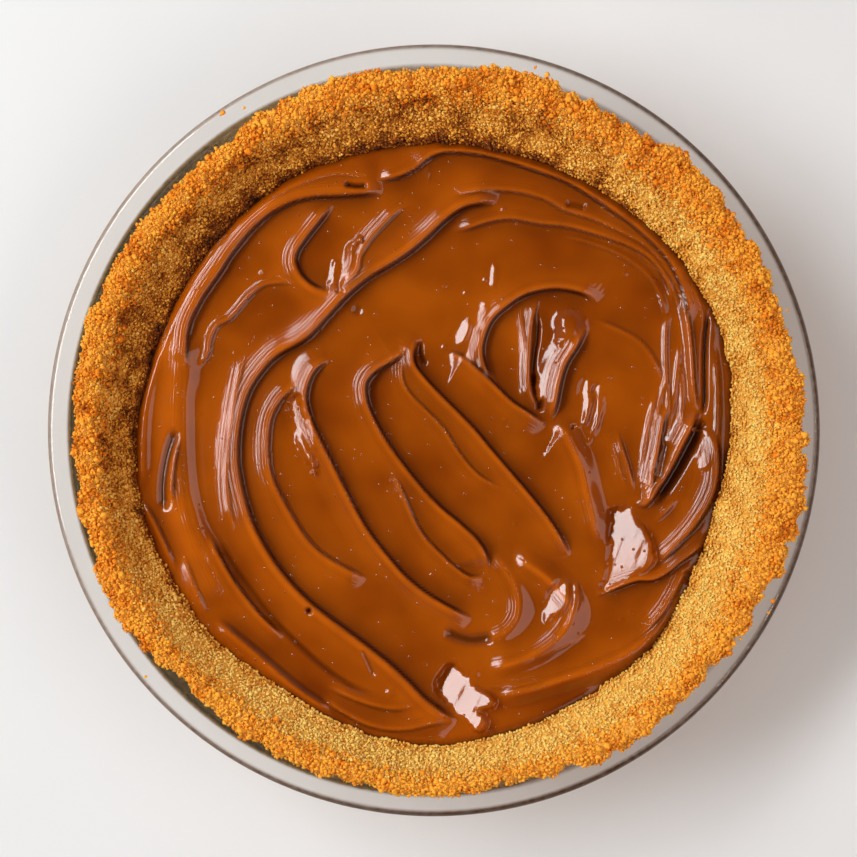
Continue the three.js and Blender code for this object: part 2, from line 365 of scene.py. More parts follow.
def glassMaterial():
    # pressed soda-lime glass: clear, with a faint grey-green depth and slight waves from the mould. Its edge
    # and bend, where the eye looks along the glass, are painted brown-grey: a painted reflection of the dark
    # room and crust, and painted shade under the rim. Rays from lamps pass straight through, for a light
    # shadow.
    material, tree, place = newMaterial("sodaLimeGlass")
    wave = addNode(tree, "ShaderNodeTexNoise", {"Scale": perMetre(16.7), "Detail": 1.0}, {"Vector": place})
    bump = addNode(tree, "ShaderNodeBump", {"Strength": 0.06, "Distance": 0.0006},
                   {"Height": wave.outputs["Fac"]})
    # the depth attribute carries the painted shade and reflection of the edge and bend
    depth = addNode(tree, "ShaderNodeAttribute", {"attribute_name": "depth"}).outputs["Fac"]
    mottle = addNode(tree, "ShaderNodeTexNoise", {"Scale": perMetre(2), "Detail": 1.0}, {"Vector": place})
    uneven = addNode(tree, "ShaderNodeMath", {"operation": "MULTIPLY_ADD", 1: 0.5, 2: 0.7},
                     {0: mottle.outputs["Fac"]})
    share = addNode(tree, "ShaderNodeMath", {"operation": "MULTIPLY", "use_clamp": True},
                    {0: depth, 1: uneven.outputs[0]})
    paintedEdgeShade = addNode(tree, "ShaderNodeValToRGB", {"stops": dish["paintedEdgeShade"]}, {0: share.outputs[0]})
    glass = addNode(tree, "ShaderNodeBsdfPrincipled",
                    {"Roughness": 0.0, "IOR": 1.5, "Transmission Weight": 1.0},
                    {"Base Color": paintedEdgeShade.outputs[0], "Normal": bump.outputs[0]})
    clear = addNode(tree, "ShaderNodeBsdfTransparent", {"Color": dish["shadow"]})
    lampRay = addNode(tree, "ShaderNodeLightPath").outputs["Is Shadow Ray"]
    mix = addNode(tree, "ShaderNodeMixShader", None, {0: lampRay, 1: glass.outputs[0], 2: clear.outputs[0]})
    addNode(tree, "ShaderNodeOutputMaterial", None, {"Surface": mix.outputs[0]})
    return material


def makeDish():
    points, faces = lathe(dishProfile(), dish["turns"])
    r = np.hypot(points[:, 0], points[:, 1])
    inner, outer = dish["bendShadeFrom"], dish["rimInner"] + 1.2
    bend = easeStep((r - inner) / 1.5) * easeStep((outer - r) / 1.4) * (points[:, 2] > 30)
    # painted shade: the edge is painted darker on the side away from the window, and the bend on the side
    # under it
    angle = np.arctan2(points[:, 1], points[:, 0])
    away = 0.5 + 0.5 * np.cos(angle + 0.6)
    under = np.clip(np.cos(angle - math.radians(190)) + 0.35, 0, 1)
    edge = easeStep((r - dish["rimOuter"] + 1.7 + 0.7 * away) / 0.9)
    # the painted shade of the edge and bend, as the glass's depth attribute
    values = {"depth": np.maximum(edge * (0.42 + 0.1 * away), bend * (0.35 + 0.75 * under))}
    piece = smooth(makePiece("pie_dish", points, faces, glassMaterial(), values))
    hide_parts("dish")
    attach(piece, "root")


makeDish()
print("glass dish done")


filling = {
    "level": 27.4,
    "sunk": 1.3,  # how far the ground between crests lies under the level
    "edgeDrop": 2.0,
    "edgeWidth": 4.0,
    "floor": 11.7,
    "steps": 304,
    "gather": 3.0,  # the power of the mean that joins crests
    "endRun": 8,  # how far a crest takes to rise at each end
    "body": [(0.3, "#7E3401"), (0.7, "#A24C05")],  # slow clouds in its colour
    # painted light: the brighter orange of the crests and lit banks, for light shining through and onto them
    "crestLightColour": "#C4600A",
    "stroke": "#7E3402",
    # painted shade: the near black-brown laid where shade falls in folds, furrows, pits and at the edge
    "paintedShadeColour": "#300D01",
    # its edge, as a radius every 15 degrees from +X towards +Y
    "edge": [96.9, 98.6, 98.1, 96.4, 94.6, 93.7, 93.7, 93.7, 94.3, 94.0, 93.8, 94.4,
             96.8, 98.4, 98.1, 98.4, 97.5, 100.6, 102.4, 101.2, 100.2, 100.0, 96.6, 95.2],
}

# Crests that the spoon left. Each is (height, steep, bank, crown, cusp, points): on its right it rises along
# the `bank`, more hollow with a larger cusp, and rounds over the `crown`; on its left it drops within
# `steep`.
crests = [
    # round the edge on the left
    (1.5, 5, 3.2, 1.0, 1.3, [(-59, 73), (-64, 66), (-70, 58.8), (-77, 48), (-82, 43), (-84.5, 37), (-88, 24),
        (-91.5, 12), (-93, 0), (-93.3, -19)]),
    (1.9, 7, 8.0, 6.0, 1.5, [(-79.5, 33), (-80, 20), (-80.5, 8), (-80.5, -6), (-79.5, -20), (-76, -33),
        (-70, -47), (-66, -54)]),
    (3.1, 1.12, 13.0, 3.0, 1.3, [(-15, 76.5), (-30, 75.4), (-38, 75), (-45, 73.5), (-52, 70), (-58, 65),
        (-64, 58), (-69, 50.5), (-75, 41.5), (-79, 32), (-79.5, 18)]),
    (2.2, 0.96, 3.0, 0.6, 1.1, [(-81, 0), (-82.7, -8), (-83.6, -16), (-83.6, -26)]),
    (0.9, 0.75, 2.0, 0.4, 1.3, [(-82, -9), (-81, -16), (-80, -26)]),
    (1.7, 1.12, 2.6, 0.7, 1.3, [(-95, -21), (-90, -28.5), (-85, -39), (-82, -46)]),
    (1.4, 0.96, 3.2, 0.7, 1.3, [(-81, -38), (-78, -46), (-72.5, -60)]),
    # over the top
    (1.0, 0.8, 4.0, 0.6, 1.4, [(-20, 81), (-30, 82), (-35, 81.3), (-41, 79.3), (-50, 75.5), (-57, 73)]),
    (2.3, 0.96, 7.0, 0.8, 1.4, [(82, 33), (80.7, 43), (75, 55), (65, 65), (56, 71.5), (50, 75.5), (45, 78.6),
        (40, 81), (30, 84.4), (25, 86), (15, 88.6), (5, 89.4), (0, 88.3), (-3, 86.5), (-6, 84), (-12, 81.3),
        (-20, 80)]),
    (1.1, 0.96, 3.0, 0.5, 1.4, [(-2.4, 87), (-1.8, 83), (-2, 80), (-2.4, 77)]),
    (1.5, 0.88, 6.0, 0.8, 1.4, [(80.5, 34), (79.5, 42), (75, 51), (68, 59), (60, 63.5), (52, 67.3),
        (45, 69.6), (41, 71), (36, 74), (28, 76.3), (18, 77), (10, 76), (5, 75)]),
    (1.7, 0.8, 7.0, 0.8, 1.4, [(76.5, 40), (74.5, 48), (70, 54.5), (64, 58.5), (58, 61), (50, 63.5),
        (42, 65.5), (34, 66.3), (25, 67.8), (18, 67), (11, 64.8), (5, 64)]),
    (0.8, 0.75, 2.4, 0.5, 1.4, [(85, 37), (83, 47), (77, 58), (68, 67.5), (57, 75.5), (47, 81)]),
    (0.9, 0.8, 1.7, 0.4, 1.2, [(80, 36), (76, 46), (70, 53), (62, 59), (52, 63), (42, 66.5)]),
    (0.9, 0.8, 1.7, 0.4, 1.2, [(83.5, 34), (81.5, 42), (77, 51), (70, 60), (61, 67), (50, 72.5)]),
    (0.9, 0.8, 1.8, 0.4, 1.2, [(86.5, 30), (85, 40), (80, 51), (72, 62), (62, 70.5), (50, 78)]),
    (0.8, 0.8, 1.8, 0.4, 1.2, [(74.5, 34), (72, 44), (67, 51), (59, 56.5), (50, 60), (40, 62.5)]),
    (0.8, 0.75, 2.0, 0.5, 1.4, [(82, 37), (79, 46.5), (73.5, 55), (66, 62.5), (58, 67), (50, 70.5)]),
    # the hollows at the top left and the small folds beside them
    (2.6, 1.28, 14.0, 1.4, 1.3, [(-31.5, 73.5), (-35, 69.5), (-41, 62), (-44.2, 57), (-44.4, 53), (-42, 48.7),
        (-38, 45.6), (-34, 44.6), (-31, 45.5)]),
    (1.3, 0.8, 1.9, 0.6, 1.3, [(-42, 46.7), (-48, 47.2), (-54, 46.6), (-58.5, 43.5), (-62, 39.5),
        (-65.5, 35.6), (-69.5, 33.3), (-71.5, 29), (-72.3, 24.5), (-77, 18)]),
    (1.8, 1, 8.0, 0.9, 1.6, [(-7, 73), (-12, 69.8), (-16, 65.8), (-20, 61.3), (-23.2, 56), (-24, 52),
        (-26, 49), (-31, 45)]),
    # the long crest from the top, down the left of the middle, to the bottom
    (3.3, 1.3, 14.0, 1.6, 1.4, [(22, 73), (15, 73), (9, 71.5), (3, 67.3), (-2, 62.5), (-8, 57.5), (-14, 53.5),
        (-21, 49.3), (-28, 43.5), (-34, 37), (-41, 29.8), (-50, 24.5), (-55, 19.5), (-59, 13.5), (-61.3, 7),
        (-62.7, -1), (-63, -10), (-61.3, -20), (-58, -30.5), (-52.5, -40.5), (-47, -48), (-40, -55.2),
        (-33, -60.8), (-24, -67.5), (-15, -74.5), (-8, -81), (-2, -87), (8, -94)]),
    (0.7, 0.75, 3.0, 0.5, 1.3, [(52, -63), (44, -68.5), (34, -72.5), (24, -75)]),
    (1.4, 0.75, 3.7, 0.7, 1.1, [(-60.2, 26), (-62.1, 17), (-64, 6), (-65.3, -5), (-66, -16), (-65, -26),
        (-63, -33)]),
    # the folds of the middle, from the left
    (1.8, 0.96, 10.0, 1.2, 1.4, [(-41.5, 16.5), (-47, 12), (-50.3, 8), (-52.6, 2), (-53.1, -8), (-51.5, -16),
        (-47, -25), (-41, -34.5), (-34, -41), (-20, -48.5)]),
    (2.8, 0.96, 6.2, 1.2, 1.1, [(-32, 23.5), (-38, 19.5), (-41, 12), (-40, 5), (-37, -2), (-33, -10),
        (-29, -18), (-22, -31), (-14, -41.5), (-8, -48), (0, -54), (13, -61)]),
    (3.3, 1.04, 17.0, 1.0, 1.6, [(-7, 27.5), (-12, 23.2), (-16, 20.8), (-20, 18), (-22, 14.5), (-21.5, 9),
        (-19, 3), (-15, -4), (-10, -11), (-4, -18.5), (2, -24.8), (8, -29.8), (14, -35.5), (17, -41),
        (17.3, -46)]),
    (2.0, 0.75, 10.0, 0.7, 1.4, [(-13.5, -13), (-10.5, -18.5), (-8, -24.5), (-5.5, -30), (-2.5, -34.7),
        (2, -39.4), (6, -43.2), (11, -46.7), (15, -46.6), (17.5, -44)]),
    (1.7, 0.75, 9.0, 0.6, 1.6, [(-9.3, 25), (-10.4, 20), (-9.6, 15), (-7, 11), (-3, 7), (1, 3), (4, -0.5),
        (8, -7), (14, -14), (22, -19)]),
    (3.4, 1.04, 13.0, 1.0, 1.6, [(-3.5, 30.5), (-6.6, 25.5), (-6.2, 21), (-3, 16.6), (2, 11.2), (8, 5.2),
        (13, 0), (18, -6), (24, -13), (30, -20), (36, -27.5), (40, -33.5), (44, -41)]),
    (2.8, 1.04, 12.0, 0.8, 1.6, [(3, 24.8), (8, 24), (11, 22), (15.5, 18), (20, 13.8), (25, 9), (30, 5.7),
        (37, 1)]),
    # the hollow right of the middle, the curl in it and the edge that runs down from it
    (3.0, 1.04, 13.0, 1.0, 1.6, [(53, 40), (50, 43), (45, 44.9), (38, 45.6), (30, 44), (24, 40.5),
        (18.5, 35.5), (15.8, 29), (15.4, 24), (17, 19), (20.5, 14)]),
    (1.7, 0.8, 3.4, 0.8, 1.2, [(34, 43), (31.8, 36), (31, 27), (30.7, 18), (31.6, 11), (33.4, 6)]),
    (3.3, 1.28, 7.0, 1.0, 1.0, [(49, 34), (45.6, 27), (42.2, 21.5), (40.4, 16), (39, 9), (37.4, 2)]),
    (2.3, 6, 13.0, 1.0, 1.4, [(36, 1.5), (41, 0.5), (44, -4.5), (47, -11), (48.6, -18), (50.5, -26),
        (53, -37)]),
    (0.9, 0.8, 2.2, 0.4, 1.2, [(27.6, 42), (28.2, 36), (29.3, 28), (30, 20)]),
    (1.0, 1.12, 9.0, 0.8, 1.4, [(51, 35.5), (58, 33), (66, 28.5), (71, 22), (74, 14)]),
    # the deep bundle on the right
    (1.4, 0.8, 5.0, 0.6, 1.3, [(58.7, 1), (60.3, -5), (62.5, -12), (64.8, -21)]),
    (0.8, 0.75, 3.0, 0.4, 1.3, [(57.3, -4), (59.5, -12), (62.2, -20)]),
    (3.8, 1.28, 6.0, 1.4, 1.3, [(84.5, 8), (82.5, 1), (79.5, -5), (76, -12), (71, -20), (67.3, -24),
        (64.5, -21.5)]),
    (2.3, 0.88, 5.0, 0.7, 1.1, [(76, 10), (73.6, 3), (72, -6), (70.6, -12), (69.6, -18), (68.4, -22.5)]),
    (1.0, 0.75, 1.5, 0.5, 1.1, [(77, 38.5), (75, 34), (74.6, 27), (74.8, 18), (75.5, 9), (75, -2)]),
    (0.8, 0.75, 1.4, 0.4, 1.2, [(77, 25), (79.3, 20), (80, 12), (79.5, 3), (78, -3)]),
    (0.9, 0.75, 1.4, 0.4, 1.1, [(79.5, 30), (78.5, 20), (77, 8), (74.5, -4)]),
    (0.8, 0.75, 1.3, 0.4, 1.1, [(75.8, 22), (73.5, 12), (71, 2), (69.5, -8)]),
    (0.8, 0.75, 1.3, 0.4, 1.1, [(72, 14), (69.5, 4), (67.5, -6), (66.8, -14)]),
    (0.9, 0.75, 1.5, 0.4, 1.1, [(90.3, 27), (91.2, 14), (91.2, 2), (90.5, -6)]),
    (1.9, 0.8, 2.0, 0.8, 1.1, [(79, 45), (81.5, 36), (82.7, 26), (83.4, 15), (84.5, 5)]),
    (2.4, 1.36, 6.0, 1.2, 1.2, [(89.7, 1), (90.8, -8), (90.4, -16), (88, -23), (83, -31), (76, -38.5),
        (70, -43.5)]),
    (1.5, 0.88, 4.0, 0.7, 1.3, [(79, -21), (74.5, -26), (70, -30.5)]),
    (3.2, 0.88, 9.0, 0.8, 1.4, [(89, -33.5), (84, -38.2), (79, -42), (74.5, -45.7), (70, -47.8), (65, -48),
        (60, -49.7), (55, -51.7), (51, -53.5)]),
    (1.8, 1.36, 5.0, 0.8, 1.2, [(84.5, -42), (79.5, -47), (76.5, -53), (72, -59.5), (66, -65.5)]),
    (2.5, 5.5, 12.0, 1.0, 1.5, [(80, -52), (73, -63), (66, -69), (60, -72.6), (50, -77), (40, -80.3),
        (30, -83.3), (19, -85.5)]),
    (0.7, 0.75, 3.0, 0.5, 1.3, [(38, -79), (27, -81.8), (15, -82.6)]),
    # the bottom
    (2.6, 7, 9.0, 1.0, 1.2, [(24, -39), (36, -47), (44, -57), (40, -66), (30, -73), (16, -77)]),
    (1.7, 6.5, 10.0, 1.0, 1.4, [(18, -38), (22, -43), (26, -50), (27, -58), (23.5, -64), (15, -68)]),
    (1.5, 1.04, 5.0, 0.7, 1.4, [(-5, -87.8), (-12, -89.2), (-20, -88), (-28, -85), (-35, -81.5)]),
    (1.6, 0.96, 4.5, 0.7, 1.4, [(7, -93.2), (0, -93.8), (-8, -95.7), (-15, -95.7), (-22, -94), (-30, -89.8),
        (-37, -85)]),
    (1.6, 2.08, 5.0, 1.0, 1.4, [(-71, -60), (-60, -69), (-53, -75), (-46, -81), (-40, -85.5), (-31, -91)]),
    (2.2, 0.96, 6.0, 0.9, 1.4, [(-73, -32), (-69.5, -39), (-65, -47), (-60, -54), (-55, -60), (-47, -67.5)]),
]

# Furrows, as (depth, width, points).
furrows = [
    (1.7, 1.1, [(33.4, 38), (33.2, 30), (32.2, 24), (31.7, 18), (32.8, 12), (34, 8), (32.8, 5)]),
    (1.8, 1.6, [(32, 19), (32.6, 13.5), (34.2, 9), (33.4, 5.5)]),
    (2.1, 1.2, [(88.2, 40), (87.2, 30), (86.9, 20), (86.9, 10), (86, 3)]),
    (2.2, 3.2, [(87, 5), (83.5, -2), (79.5, -9.5), (75, -17), (70, -23.5)]),
    (1.5, 1.6, [(75, -3), (73.3, -11), (71.7, -17)]),
    (1.5, 2.4, [(3, -64.3), (8, -66.3), (13, -67.3), (19.5, -66.3)]),
    (1.3, 1.3, [(-72, -28), (-68.5, -35.5), (-64, -43.5), (-58, -51.8), (-52.5, -59), (-46, -66),
        (-38, -73.5), (-31, -79), (-24, -83), (-15, -86)]),
    (1.8, 2.4, [(-82.3, 1.5), (-85.3, -8), (-86.8, -18), (-86.6, -27)]),
    (1.3, 1.6, [(-4.7, 29), (-4.6, 24), (-2.5, 20.5)]),
    (2.2, 1.3, [(-21, 78.3), (-25, 78.2), (-29, 78.9)]),
    (1.6, 2.2, [(81.3, -44.5), (82.3, -49.5)]),
    (0.8, 1.0, [(-23, -70), (-21.5, -73), (-20, -76.5), (-19, -79)]),
    (0.35, 2.8, [(-77.5, 18), (-77, 5), (-76.5, -8), (-75, -20), (-72, -30), (-68, -40)]),
    (0.9, 3.0, [(91, 34), (93.3, 20), (94, 5), (93.5, -8), (91.5, -20)]),
    (1.2, 1.6, [(42, 72.5), (46, 72.2), (49, 71.5)]),
]

# Patches smeared flat, leaning towards the window, as (level over the mean of what they cover, slope, azimuth
# faced, outline run clockwise).
patches = [
    (0.5, 0.47, 160, [(57, -26), (62, -25), (65, -29), (68.5, -34), (70, -40), (69, -43), (65, -45.5),
        (60.5, -48), (54, -51.5), (56, -44), (56.5, -38), (56.5, -32)]),
    (0.5, 0.46, 152, [(1, -80), (4, -76.5), (7, -75.8), (10, -79), (13, -82), (17, -84.5), (19.5, -87),
        (17, -89), (14, -90), (16.5, -93), (14, -96), (11, -93.5), (7, -90), (3, -86), (1, -83)]),
    (0.2, 0.49, 157, [(36, -55), (38, -51), (42, -48.5), (43, -52), (42, -57), (38, -59.5), (35.5, -61)]),
    (0.0, 0.50, 158, [(44.4, -50), (46, -50), (45.5, -56), (43, -63), (41.6, -63), (43.8, -56)]),
    (0.3, 0.45, 165, [(6, 30), (8.2, 33.6), (10.6, 35.4), (11.6, 33), (10.4, 29), (8, 27.6)]),
    (0.0, 0.45, 165, [(10.6, 23.6), (11.4, 29), (13.2, 33.2), (14.2, 31), (13.4, 26), (12, 22.4)]),
    (0.0, 0.44, 166, [(13.6, 37.5), (15.4, 40.5), (16.6, 40), (15.6, 35), (14.2, 33.5)]),
    (0.4, 0.49, 162, [(47, 12), (48.2, 15.6), (49.6, 15), (50.6, 9), (49.4, 4), (48, 2), (48, 8)]),
    (0.4, 0.49, 162, [(51.4, 13), (52.6, 14.4), (53.6, 11), (53.4, 5), (51.8, 0), (51, -1), (52, 5)]),
    (0.3, 0.47, 164, [(17.6, 47), (18.2, 52), (19.4, 53), (19.8, 49), (19, 46)]),
    (0.0, 0.40, 166, [(-34.4, 47.8), (-33.6, 51.5), (-31.8, 54), (-31.2, 52.6), (-32.4, 48.6)]),
    (0.1, 0.40, 166, [(-30.6, 47), (-29.6, 51.5), (-27.6, 57), (-26.4, 59.4), (-26.2, 55.5), (-28, 49.5)]),
    (0.4, 0.52, 164, [(86, 0), (88.3, -1), (89.3, -5), (88.3, -10), (86.8, -12), (85.6, -10), (86, -5)]),
    (0.2, 0.39, 168, [(-46.2, 9), (-43.8, 10.6), (-42.4, 5), (-42.2, -1), (-40, -6), (-38.6, -11),
        (-40.8, -9.4), (-43.4, -4), (-45, 2)]),
    (0.1, 0.39, 168, [(-41.2, 3.6), (-40.2, 4), (-39.4, -1), (-37.4, -5.4), (-38.8, -4.6), (-40.8, 0)]),
    (0.3, 0.47, 163, [(40.5, 26), (39, 19), (36.4, 13), (34, 10.2), (33, 13.5), (34.8, 19), (37.6, 24)]),
]

# Dimples, pinholes and (with a minus sign) knobs, as (depth, x, y, radius).
dimples = [
    (0.8, -24.5, 38.5, 2.0), (2.2, -40, -57.7, 1.1), (1.6, 4.5, 94.6, 1.4), (-3.0, 43.2, 34, 5.6),
    (-0.7, -54.8, 50.3, 1.0), (-0.5, 61.3, 50.3, 0.9), (-0.5, 16.5, 48.3, 0.8), (-0.5, 3.2, 26.7, 0.9),
    (-0.5, 3.5, 46.2, 0.8), (-0.5, 10.2, 44, 0.9), (-0.5, 22.3, 70.8, 0.9), (-0.5, -0.5, -46.2, 0.8),
    (-0.5, 60, -60.7, 0.8), (-0.5, 63, -58.5, 0.7), (-0.4, -17, -43.3, 0.7), (-0.4, -14.8, -47.3, 0.9),
    (-0.5, -2.8, -75, 0.7), (-0.5, 13.6, -78, 1.2), (-0.6, -14, -84, 1.6), (-0.5, -75.2, 5.2, 0.6),
    (-0.5, 26, -30, 0.6), (-0.4, 22.8, 3.4, 0.6), (-0.4, -10.3, -21.7, 0.6), (-0.5, 29.2, 12.5, 1.5),
]


def alongCurve(x, y, points, reach):
    # for points near a curve: which ones, their distance from it (positive on its left), and the share of its
    # length and the length in mm at the nearest place
    line = curveThrough(points, 1.0)
    low, high = line.min(0) - reach, line.max(0) + reach
    near = np.nonzero((x > low[0]) & (x < high[0]) & (y > low[1]) & (y < high[1]))[0]
    a, along = line[:-1], np.diff(line, axis=0)
    length = np.linalg.norm(along, axis=1)
    before = np.concatenate([[0], np.cumsum(length)])
    best = np.full(len(near), 1e9)
    side = np.zeros(len(near))
    run = np.zeros(len(near))
    for k in range(len(a)):
        dx, dy = x[near] - a[k, 0], y[near] - a[k, 1]
        t = np.clip((dx * along[k, 0] + dy * along[k, 1]) / length[k] ** 2, 0, 1)
        ox, oy = dx - t * along[k, 0], dy - t * along[k, 1]
        far = ox * ox + oy * oy
        closer = far < best
        best = np.where(closer, far, best)
        side = np.where(closer, np.sign(along[k, 0] * oy - along[k, 1] * ox), side)
        run = np.where(closer, before[k] + t * length[k], run)
    far = np.sqrt(best)
    return near, far * np.where(side == 0, 1, side), run / before[-1], run


def crestProfile(off, height, steep, bank, crown, cusp):
    # a crest's height over the distance from its line: the bank a (t ** cusp) where t runs from 0 to 1 across
    # it, a crown that goes on at the bank's last slope and levels out as a parabola, and an eased drop beyond
    # the line
    a = height / (1 + cusp * crown / (2 * bank))
    slope = cusp * a / bank
    over = np.clip(off + crown, 0, crown)
    rise = a * np.clip(1 + (off + crown) / bank, 0, 1) ** cusp + slope * (over - over ** 2 / (2 * crown))
    return np.where(off > 0, height * (1 - easeStep(off / steep)), rise)


def layCrests(x, y):
    # the crests' height, joined by a power mean so that they don't pile up, the painted light on their thin
    # crests and lit banks, the painted shade at the foot of their drops, and the spoon's combing: how strong
    # it is, and the distance from its crest
    power, endRun = filling["gather"], filling["endRun"]
    up, extra, thin, deep, combed, lane = (np.zeros(len(x)) for _ in range(6))
    for index, (height, steep, bank, crown, cusp, points) in enumerate(crests):
        near, off, share, run = alongCurve(x, y, points, max(steep + 8, bank + crown + 4))
        total = run.max() if len(run) else 1.0
        ends = easeStep(run / endRun) * easeStep((1 - share) * total / endRun)
        wander = 1 + 0.12 * softNoise(np.stack([run, 0 * run + index * 31.7], axis=1), 11.0, 5)
        up[near] += (ends * wander * crestProfile(off, height, steep, bank, crown, cusp)) ** power
        brushed = ends * np.clip(1 + off / min(bank + crown, 7.0), 0, 1) * (off < 0)
        extra[near] += 0.05 * brushed * softNoise(np.stack([off + 3 * index, run / 24], axis=1), 1.3, 11)
        stronger = brushed > combed[near]
        combed[near] = np.where(stronger, brushed, combed[near])
        lane[near] = np.where(stronger, off, lane[near])
        strong = ends * min(1.0, height / 2.4)
        # painted light: the crest and the bank below it are made more orange, for light that shines through
        # the crest and onto the bank
        thin[near] += strong * np.exp(-((off + 0.5 * crown) / (0.6 * crown + 0.3)) ** 2)
        thin[near] += 0.3 * strong * np.exp(-((off + crown + 2) / 3) ** 2)
        # painted shade: a dark line at the foot of each drop, and a softer, wider one beyond it where its
        # shadow falls
        crisp = strong * min(1.0, 2.2 / steep) ** 2
        shade = np.exp(-((off - 0.7 * steep) / (0.4 * steep + 0.35)) ** 2)
        soft = 0.4 * np.exp(-(np.clip(off - steep, 0, None) / 4.2) ** 2) * (off > 0.6 * steep)
        deep[near] = np.maximum(deep[near], crisp * np.maximum(shade, soft))
    return up ** (1 / power) + extra, thin, deep, combed, lane


def cutFurrows(x, y, swirl, deep):
    # furrows, taken off the swirl, with painted shade laid in them
    for depth, width, points in furrows:
        near, off, share, _ = alongCurve(x, y, points, width * 1.6)
        ends = easeStep(share * 6) * easeStep((1 - share) * 6)
        trough = ends * np.exp(-2.2 * (off / width) ** 2)
        swirl[near] -= depth * trough
        deep[near] = np.maximum(deep[near], np.minimum(1, 0.5 * depth) * trough)


def smearPatches(x, y, swirl, deep):
    # leaning flats in place of what they cover, with frayed edges and faint scratches, and the painted shade
    # taken off them
    for level, slope, azimuth, outline in patches:
        near, off, _, _ = alongCurve(x, y, outline + outline[:1], 3)
        a = math.radians(azimuth)
        px, py = x[near] - np.mean(outline, 0)[0], y[near] - np.mean(outline, 0)[1]
        ahead, across = px * math.cos(a) + py * math.sin(a), py * math.cos(a) - px * math.sin(a)
        frayed = softNoise(np.stack([across / 2.5, ahead], axis=1), 0.9, 7)
        window = easeStep((1.4 - off + 0.5 * frayed) / 1.9)
        scratch = 0.03 * softNoise(np.stack([across / 9, ahead], axis=1), 0.9, 9)
        mean = np.sum(window * swirl[near]) / max(np.sum(window), 1e-9)
        swirl[near] += window * (mean + level - slope * ahead + scratch - swirl[near])
        deep[near] *= 1 - window


def pressDimples(x, y, swirl, deep):
    # small pits with painted shade laid in them, and knobs where the depth is negative
    for depth, cx, cy, radius in dimples:
        pit = np.exp(-1.6 * (((x - cx) ** 2 + (y - cy) ** 2) / radius ** 2) ** 1.3)
        swirl -= depth * pit
        deep += max(0.0, min(1.0, 0.45 * depth)) * pit


def fillingSwirl(x, y):
    # the height of the swirls over the filling's level, with slow swells under them, and what layCrests gives
    swirl, thin, deep, combed, lane = layCrests(x, y)
    cutFurrows(x, y, swirl, deep)
    smearPatches(x, y, swirl, deep)
    pressDimples(x, y, swirl, deep)
    flat = np.stack([x, y], axis=1)
    slow = 0.30 * softNoise(flat, 19.0, 3) + 0.05 * softNoise(flat, 6.0, 4)
    return swirl + slow - filling["sunk"], np.clip(thin, 0, 1), np.clip(deep, 0, 1), combed, lane


def fillingEdge(angle):
    # the radius of the filling's edge, with small waves where it clings to the crumbs
    spot = np.stack([np.cos(angle), np.sin(angle)], axis=-1) * 97
    return around(filling["edge"], angle) + 0.5 * softNoise(spot, 5.0, 21) + 0.25 * softNoise(spot, 1.8, 22)


def fillingTop(x, y):
    # the filling's height with its rounded edge, and the values of its points, with painted shade where it
    # meets the crumbs
    toEdge = fillingEdge(np.arctan2(y, x)) - np.hypot(x, y)
    evenEdge = around(filling["edge"], np.arctan2(y, x)) - np.hypot(x, y)
    edge = 1 - easeStep(evenEdge / filling["edgeWidth"])
    right = np.clip(x / np.maximum(np.hypot(x, y), 1), -1, 1)
    # painted shade along the edge against the crust, and a broad painted shade near the right edge
    contact = 0.95 * np.exp(-(np.clip(toEdge, 0, None) / (2.5 + 1.1 * right)) ** 2)
    contact = np.maximum(contact, 0.5 * np.clip(right, 0, 1) ** 6 * np.exp(-(toEdge / 9) ** 4))
    swirl, thin, deep, combed, lane = fillingSwirl(x, y)
    height = filling["level"] + swirl * (1 - edge) - filling["edgeDrop"] * edge
    return height, {"thin": thin * (1 - edge), "deep": np.maximum(deep * (1 - edge), contact),
                    "combed": combed, "lane": lane}


def squareToRound(steps):
    # an even grid over a square, bent to a round of radius 1 with equal cells
    u, v = np.meshgrid(np.linspace(-1, 1, steps + 1), np.linspace(-1, 1, steps + 1), indexing="xy")
    wide = np.abs(u) > np.abs(v)
    safeU, safeV = np.where(u == 0, 1, u), np.where(v == 0, 1, v)
    r = np.where(wide, u, v)
    angle = np.where(wide, np.pi / 4 * v / safeU, np.pi / 2 - np.pi / 4 * u / safeV)
    return (r * np.cos(angle)).ravel(), (r * np.sin(angle)).ravel()


